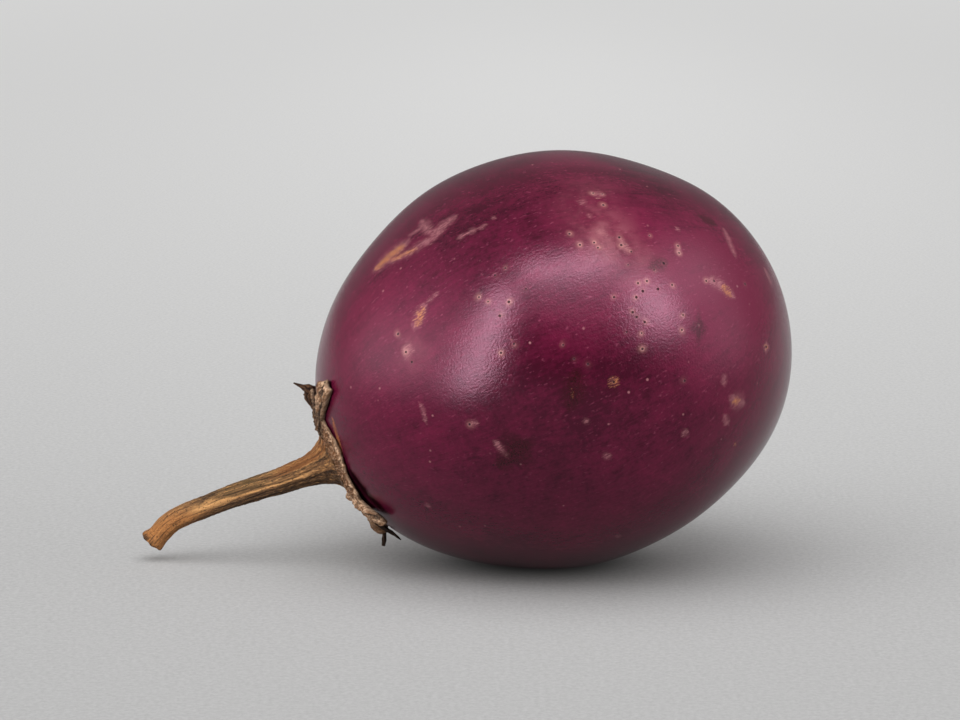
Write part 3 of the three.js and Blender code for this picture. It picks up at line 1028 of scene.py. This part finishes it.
floor_mesh = bpy.data.meshes.new("floor")
half = FLOOR_SIDE / 2
floor_corners = [(-half, -half), (half, -half), (half, half), (-half, half)]
floor_mesh.from_pydata([(x, y, -FLOOR_DROP) for x, y in floor_corners], [], [(0, 1, 2, 3)])
floor = bpy.data.objects.new("floor", floor_mesh)
bpy.context.scene.collection.objects.link(floor)


def round_spot(tree, place, middle, spread, power):
    """1 in the middle of an oval, fading as the exponential of minus a power of the distance over the
    spread."""
    across = step(tree, "VectorMath", {0: place, 1: middle}, operation="SUBTRACT")
    shares = step(tree, "VectorMath", {0: across, 1: spread}, operation="DIVIDE")
    distance = step(tree, "VectorMath", {0: shares}, output="Value", operation="LENGTH")
    return math(tree, "EXPONENT", times(tree, math(tree, "POWER", distance, power), -1.0))


def paper_finish():
    """Grey paper with a fine grain, painted a little darker near the camera. Its painted glow climbs as
    one less the exponential of minus the depth over the glow's, with a painted pool of light behind the
    fruit, and goes out under the fruit, where a painted contact shadow also darkens the colour."""
    material, tree, surface, place = start_finish("grey_paper", PAPER_ROUGHNESS, PAPER_GLOSS)
    depth = step(tree, "SeparateXYZ", {0: place}, output="Y")
    colour = blend(tree, ramp(tree, depth, -0.14, -0.02), NEAR_PAPER_PAINTED_SHADE, FAR_PAPER)
    grain = noise(tree, place, 1000, 4, 0.75)
    colour = blend(tree, ramp(tree, grain, 0.25, 0.75, 0, 0.6), colour, PAPER_FLECKS)
    # painted light: the glow climbs with depth, with a pool behind the fruit
    fading = math(tree, "DIVIDE", math(tree, "MAXIMUM", depth, 0.0), -GLOW_DEPTH)
    glow = blend(tree, math(tree, "EXPONENT", fading), FAR_PAINTED_GLOW, NEAR_PAINTED_GLOW)
    painted_pool = times(tree, round_spot(tree, place, POOL_MIDDLE, POOL_SPREAD, 2.0), POOL_SHARE)
    glow = blend(tree, painted_pool, glow, PAINTED_LIGHT_POOL)
    # painted contact shadow: the glow goes out and the colour darkens under the fruit
    painted_contact = round_spot(tree, place, CONTACT_MIDDLE, CONTACT_SPREAD, 3.0)
    lit = math(tree, "SUBTRACT", 1.0, painted_contact)
    tree.links.new(glow, surface.inputs["Emission Color"])
    tree.links.new(lit, surface.inputs["Emission Strength"])
    tree.links.new(blend(tree, lit, PAINTED_CONTACT_SHADOW, colour), surface.inputs["Base Color"])
    return material


floor_mesh.materials.append(paper_finish())


# Lights
# A tall soft box on the left, a broad one on the right and a long one overhead, with wide dim glows
# between them and pale walls low on both sides. One more lamp lights the paper alone, and the room
# behind the camera is dark.
LAMPS = [
    # name, azimuth and rise in degrees, distance, width and height in metres, radiance, and the shares of
    # its left, right, lower and upper sides that fade out
    ("left_box", -40.5, 18.5, 0.5, 0.15, 0.60, 19.5, (0.65, 0.22, 0.24, 0.18)),
    ("left_wall", -70, 12, 0.3, 0.5, 0.40, 2.4, (0.5, 0.5, 0.5, 0.6)),
    ("top_box", 0, 61, 1.2, 1.05, 0.26, 22, (0.2, 0.25, 0.45, 0.55)),
    ("right_box", 46, 30, 1.2, 0.66, 0.86, 18, (0.5, 0.5, 0.5, 0.5)),
    ("top_glow", 12, 46, 1.2, 2.4, 0.8, 3.9, (0.5, 0.5, 0.6, 0.25)),
    ("right_glow", 76, 41, 1.2, 1.8, 0.9, 2.9, (0.5, 0.5, 0.5, 0.5)),
    ("right_wall", 73, 14, 0.3, 0.36, 0.36, 1.8, (0.5, 0.5, 0.5, 0.6)),
    ("front_glow", 12, 30, 1.2, 0.5, 0.4, 1.4, (0.5, 0.5, 0.5, 0.5)),
]
PAPER_LAMP = ("ceiling", -14, 74, 1.2, 2.1, 2.1, 1.95, (0.3, 0.3, 0.3, 0.3))
WALLS = [
    # azimuth, rise and spread in degrees, and radiance
    (-70, 18, 36, 0.8),
    (82, 24, 36, 0.35),
]
ROOM_LIGHT = 0.25
BEHIND_CAMERA_LIGHT = 0.1
BEHIND_CAMERA_COSINES = 0.68, 0.86
WHITE = (1, 1, 1, 1)


def direction_to(azimuth, rise):
    """Unit vector at an azimuth from the camera's side, to the right, and a rise, in degrees."""
    azimuth, rise = np.radians(azimuth), np.radians(rise)
    return np.array([np.sin(azimuth) * np.cos(rise), -np.cos(azimuth) * np.cos(rise), np.sin(rise)])


def soft_box(name, azimuth, rise, distance, width, height, radiance, soft, only):
    """A rectangular area light that faces the fruit. Its power is radiance times area times pi. It fades
    out over the soft shares of its left, right, lower and upper sides, and lights one collection only."""
    away = direction_to(azimuth, rise)
    data = bpy.data.lights.new(name, "AREA")
    data.shape = "RECTANGLE"
    data.size = width
    data.size_y = height
    data.energy = radiance * width * height * np.pi
    data.use_nodes = True
    tree = data.node_tree
    spot = step(tree, "NewGeometry", output="Parametric")
    left, right, lower, upper = soft
    across, up = (step(tree, "SeparateXYZ", {0: spot}, output=axis) for axis in "XY")
    fades = [ramp(tree, across, 0, left), ramp(tree, across, 1 - right, 1, 1, 0)]
    fades += [ramp(tree, up, 0, lower), ramp(tree, up, 1 - upper, 1, 1, 0)]
    glow = 1.0
    for fade in fades:
        glow = times(tree, fade, glow)
    tree.links.new(glow, tree.nodes["Emission"].inputs["Strength"])
    lamp = bpy.data.objects.new(name, data)
    lamp.location = fruit_centre + distance * away
    lamp.rotation_euler = Vector(away).to_track_quat("Z", "Y").to_euler()
    lamp.visible_camera = False
    lamp.light_linking.receiver_collection = only
    bpy.context.scene.collection.objects.link(lamp)


eggplant = bpy.data.collections.new("eggplant")
for piece in (fruit, calyx, stem):
    eggplant.objects.link(piece)
paper_only = bpy.data.collections.new("paper")
paper_only.objects.link(floor)

for lamp in LAMPS:
    soft_box(*lamp, eggplant)
soft_box(*PAPER_LAMP, paper_only)

world = bpy.data.worlds.new("room")
world.use_nodes = True
bpy.context.scene.world = world
tree = world.node_tree
towards = step(tree, "TexCoord", output="Generated")


def nearness(direction):
    """Cosine of the angle between a direction and the part of the room that is lit."""
    inputs = {0: towards, 1: tuple(direction)}
    return step(tree, "VectorMath", inputs, output="Value", operation="DOT_PRODUCT")


room = ROOM_LIGHT
for azimuth, rise, spread, radiance in WALLS:
    angle = math(tree, "ARCCOSINE", nearness(direction_to(azimuth, rise)))
    share = math(tree, "POWER", math(tree, "DIVIDE", angle, np.radians(spread)), 2.0)
    glow = math(tree, "EXPONENT", times(tree, share, -1.0))
    room = plus(tree, room, glow, radiance)
behind = ramp(tree, nearness(-camera_forward), *BEHIND_CAMERA_COSINES)
room = step(tree, "Mix", {"Factor": behind, "A": room, "B": BEHIND_CAMERA_LIGHT}, data_type="FLOAT")
tree.links.new(room, tree.nodes["Background"].inputs["Strength"])
tree.nodes["Background"].inputs["Color"].default_value = WHITE
bpy.context.scene.view_settings.view_transform = "Standard"
